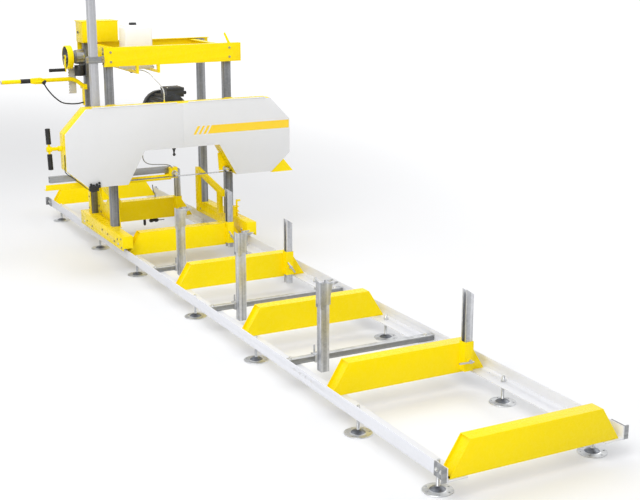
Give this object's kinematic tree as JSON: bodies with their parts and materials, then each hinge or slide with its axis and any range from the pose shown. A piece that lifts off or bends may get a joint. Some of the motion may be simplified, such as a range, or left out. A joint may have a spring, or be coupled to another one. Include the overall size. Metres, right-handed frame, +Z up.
{
  "type": "portable band sawmill",
  "caption": "Portable horizontal band sawmill: log bed with bunks, stops and clamps, a rolling four-post carriage, and a motor-driven saw head that rides up and down",
  "frame": {"origin": "Middle of the footprint of the whole mill, on the plane of the levelling feet", "axes": "X to the right across the bed (away from the push handle), Y along the bed in the sawing direction, Z up"},
  "size_m": [1.85, 5.7, 1.805],
  "materials": {
    "yellow_paint": "semi-gloss",
    "white_paint": "semi-gloss",
    "galvanised": "galvanised",
    "bright_steel": "machined",
    "dark_iron": "dark grey paint",
    "black_rubber": "matte",
    "black_plastic": "matte",
    "milky_plastic": "translucent white"
  },
  "bodies": {
    "bed": {"left_rail": "white_paint", "right_rail": "white_paint", "bunk_1": "yellow_paint", "bunk_2": "yellow_paint", "bunk_3": "yellow_paint", "bunk_4": "yellow_paint", "bunk_5": "yellow_paint", "bunk_6": "yellow_paint", "bunk_7": "yellow_paint"},
    "carriage": {"left_side_frame": "yellow_paint", "right_side_frame": "yellow_paint", "top_beams": "yellow_paint", "control_cabinet": "yellow_paint", "water_tank": "milky_plastic", "water_tap": "black_plastic", "water_hose": "milky_plastic", "winch_body": "dark_iron", "push_handle": "yellow_paint", "mast_clamp": "galvanised", "lift_cable": "bright_steel"},
    "head": {"housing": "yellow_paint", "head_frame": "yellow_paint", "blade": "bright_steel", "motor": "dark_iron", "drive_belt": "black_rubber", "mast": "galvanised", "door_switch": "black_plastic"},
    "guide_arm": {"guide_arm": "galvanised", "guide_guard": "yellow_paint"},
    "lock_pin": {"lock_pin": "yellow_paint"},
    "winch_crank": {"winch_crank": "yellow_paint"},
    "tension_handle": {"tension_handle": "yellow_paint"},
    "left_cover": {"left_cover": "white_paint"},
    "right_cover": {"right_cover": "white_paint"},
    "log_stop_1": {"log_stop_1": "galvanised"},
    "log_stop_2": {"log_stop_2": "galvanised"},
    "log_stop_3": {"log_stop_3": "galvanised"},
    "log_stop_4": {"log_stop_4": "galvanised"},
    "clamp_post_1": {"clamp_post_1": "galvanised"},
    "clamp_post_2": {"clamp_post_2": "galvanised"},
    "clamp_post_3": {"clamp_post_3": "galvanised"},
    "clamp_jaw_1": {"clamp_jaw_1": "galvanised"},
    "clamp_jaw_2": {"clamp_jaw_2": "galvanised"},
    "clamp_jaw_3": {"clamp_jaw_3": "galvanised"},
    "stop_handle_1": {"stop_handle_1": "bright_steel"},
    "stop_handle_2": {"stop_handle_2": "bright_steel"},
    "stop_handle_3": {"stop_handle_3": "bright_steel"},
    "near_left_wheel": {"near_left_wheel": "bright_steel"},
    "near_right_wheel": {"near_right_wheel": "bright_steel"},
    "far_left_wheel": {"far_left_wheel": "bright_steel"},
    "far_right_wheel": {"far_right_wheel": "bright_steel"},
    "idler_wheel": {"idler_wheel": "bright_steel"},
    "drive_wheel": {"drive_wheel": "bright_steel"},
    "moving_roller": {"moving_roller": "bright_steel"},
    "fixed_roller": {"fixed_roller": "bright_steel"},
    "idler_carrier": {"idler_carrier": "dark_iron"},
    "motor_pulley": {"motor_pulley": "dark_iron"},
    "crank_grip": {"crank_grip": "black_rubber"},
    "tank_cap": {"tank_cap": "black_plastic"},
    "run_lever": {"run_lever": "black_plastic"}
  },
  "joints": [
    {"name": "carriage_travel", "type": "slide", "parent": "bed", "child": "carriage", "axis": [0, 1, 0], "range_m": [-3.7, 0.85]},
    {"name": "near_left_wheel_turn", "type": "hinge", "parent": "carriage", "child": "near_left_wheel", "pos_m": [-0.339, 0.99, 0.196], "axis": [1, 0, 0], "continuous": true},
    {"name": "near_right_wheel_turn", "type": "hinge", "parent": "carriage", "child": "near_right_wheel", "pos_m": [0.545, 0.99, 0.196], "axis": [1, 0, 0], "continuous": true},
    {"name": "far_left_wheel_turn", "type": "hinge", "parent": "carriage", "child": "far_left_wheel", "pos_m": [-0.339, 1.74, 0.196], "axis": [1, 0, 0], "continuous": true},
    {"name": "far_right_wheel_turn", "type": "hinge", "parent": "carriage", "child": "far_right_wheel", "pos_m": [0.545, 1.74, 0.196], "axis": [1, 0, 0], "continuous": true},
    {"name": "head_lift", "type": "slide", "parent": "carriage", "child": "head", "axis": [0, 0, 1], "range_m": [-0.3, 0.15], "deforming": ["water_hose", "lift_cable"]},
    {"name": "winch_turn", "type": "hinge", "parent": "carriage", "child": "winch_crank", "pos_m": [-0.46, 1.66, 1.367], "axis": [1, 0, 0], "range_deg": [-2705, 1355]},
    {"name": "grip_spin", "type": "hinge", "parent": "winch_crank", "child": "crank_grip", "pos_m": [-0.55, 1.66, 1.283], "axis": [1, 0, 0], "continuous": true},
    {"name": "left_cover_hinge", "type": "hinge", "parent": "head", "child": "left_cover", "pos_m": [-0.3, 1.01, 1.0983], "axis": [-1, 0, 0], "range_deg": [0, 120]},
    {"name": "right_cover_hinge", "type": "hinge", "parent": "head", "child": "right_cover", "pos_m": [0.5, 1.01, 1.0983], "axis": [-1, 0, 0], "range_deg": [0, 120]},
    {"name": "drive_wheel_turn", "type": "hinge", "parent": "head", "child": "drive_wheel", "pos_m": [0.6385, 1.085, 0.838], "axis": [0, 1, 0], "continuous": true},
    {"name": "tension_turn", "type": "hinge", "parent": "head", "child": "tension_handle", "pos_m": [-0.78, 1.1187, 0.838], "axis": [1, 0, 0], "range_deg": [0, 720]},
    {"name": "idler_slide", "type": "slide", "parent": "head", "child": "idler_carrier", "axis": [1, 0, 0], "range_m": [0, 0.004]},
    {"name": "idler_wheel_turn", "type": "hinge", "parent": "idler_carrier", "child": "idler_wheel", "pos_m": [-0.4325, 1.085, 0.838], "axis": [0, 1, 0], "continuous": true},
    {"name": "motor_pulley_turn", "type": "hinge", "parent": "head", "child": "motor_pulley", "pos_m": [0.108, 1.155, 1.01], "axis": [0, 1, 0], "continuous": true},
    {"name": "guide_slide", "type": "slide", "parent": "head", "child": "guide_arm", "axis": [1, 0, 0], "range_m": [-0.25, 0.1]},
    {"name": "moving_roller_turn", "type": "hinge", "parent": "guide_arm", "child": "moving_roller", "pos_m": [0.073, 1.085, 0.6118], "axis": [0, 1, 0], "continuous": true},
    {"name": "fixed_roller_turn", "type": "hinge", "parent": "head", "child": "fixed_roller", "pos_m": [0.448, 1.085, 0.6118], "axis": [0, 1, 0], "continuous": true},
    {"name": "run_lever_turn", "type": "hinge", "parent": "carriage", "child": "run_lever", "pos_m": [-0.697, 1.66, 1.219], "axis": [1, 0, 0], "range_deg": [-20, 25]},
    {"name": "lock_pin_lift", "type": "slide", "parent": "carriage", "child": "lock_pin", "axis": [0, 0, 1], "range_m": [0, 0.02]},
    {"name": "cap_lift", "type": "slide", "parent": "carriage", "child": "tank_cap", "axis": [0, 0, 1], "range_m": [0, 0.05]},
    {"name": "log_stop_1_slide", "type": "slide", "parent": "bed", "child": "log_stop_1", "axis": [0, 0, 1], "range_m": [-0.09, 0.09]},
    {"name": "log_stop_2_slide", "type": "slide", "parent": "bed", "child": "log_stop_2", "axis": [0, 0, 1], "range_m": [-0.05, 0.1]},
    {"name": "log_stop_3_slide", "type": "slide", "parent": "bed", "child": "log_stop_3", "axis": [0, 0, 1], "range_m": [-0.07, 0.05]},
    {"name": "log_stop_4_slide", "type": "slide", "parent": "bed", "child": "log_stop_4", "axis": [0, 0, 1], "range_m": [-0.07, 0.05]},
    {"name": "stop_handle_1_turn", "type": "hinge", "parent": "bed", "child": "stop_handle_1", "pos_m": [0.405, -1.9188, 0.175], "axis": [0, 1, 0], "range_deg": [-180, 180]},
    {"name": "stop_handle_2_turn", "type": "hinge", "parent": "bed", "child": "stop_handle_2", "pos_m": [0.405, 0.0173, 0.175], "axis": [0, 1, 0], "range_deg": [-180, 180]},
    {"name": "stop_handle_3_turn", "type": "hinge", "parent": "bed", "child": "stop_handle_3", "pos_m": [0.405, 0.9321, 0.175], "axis": [0, 1, 0], "range_deg": [-180, 180]},
    {"name": "clamp_post_1_slide", "type": "slide", "parent": "bed", "child": "clamp_post_1", "axis": [1, 0, 0], "range_m": [-0.069, 0.32]},
    {"name": "clamp_post_2_slide", "type": "slide", "parent": "bed", "child": "clamp_post_2", "axis": [1, 0, 0], "range_m": [-0.069, 0.32]},
    {"name": "clamp_post_3_slide", "type": "slide", "parent": "bed", "child": "clamp_post_3", "axis": [1, 0, 0], "range_m": [-0.069, 0.32]},
    {"name": "clamp_jaw_1_slide", "type": "slide", "parent": "clamp_post_1", "child": "clamp_jaw_1", "axis": [0, 0, 1], "range_m": [-0.2, 0]},
    {"name": "clamp_jaw_2_slide", "type": "slide", "parent": "clamp_post_2", "child": "clamp_jaw_2", "axis": [0, 0, 1], "range_m": [-0.2, 0]},
    {"name": "clamp_jaw_3_slide", "type": "slide", "parent": "clamp_post_3", "child": "clamp_jaw_3", "axis": [0, 0, 1], "range_m": [-0.2, 0]}
  ],
  "couplings": [
    {"joint": "near_left_wheel_turn", "follows": "carriage_travel", "rad_per_m": -27.248},
    {"joint": "near_right_wheel_turn", "follows": "carriage_travel", "rad_per_m": -27.248},
    {"joint": "far_left_wheel_turn", "follows": "carriage_travel", "rad_per_m": -27.248},
    {"joint": "far_right_wheel_turn", "follows": "carriage_travel", "rad_per_m": -27.248},
    {"joint": "winch_turn", "follows": "head_lift", "rad_per_m": 157.08},
    {"joint": "idler_slide", "follows": "tension_turn", "m_per_rad": 0.0003183},
    {"joint": "idler_wheel_turn", "follows": "drive_wheel_turn", "ratio": 1},
    {"joint": "motor_pulley_turn", "follows": "drive_wheel_turn", "ratio": 2.5}
  ]
}
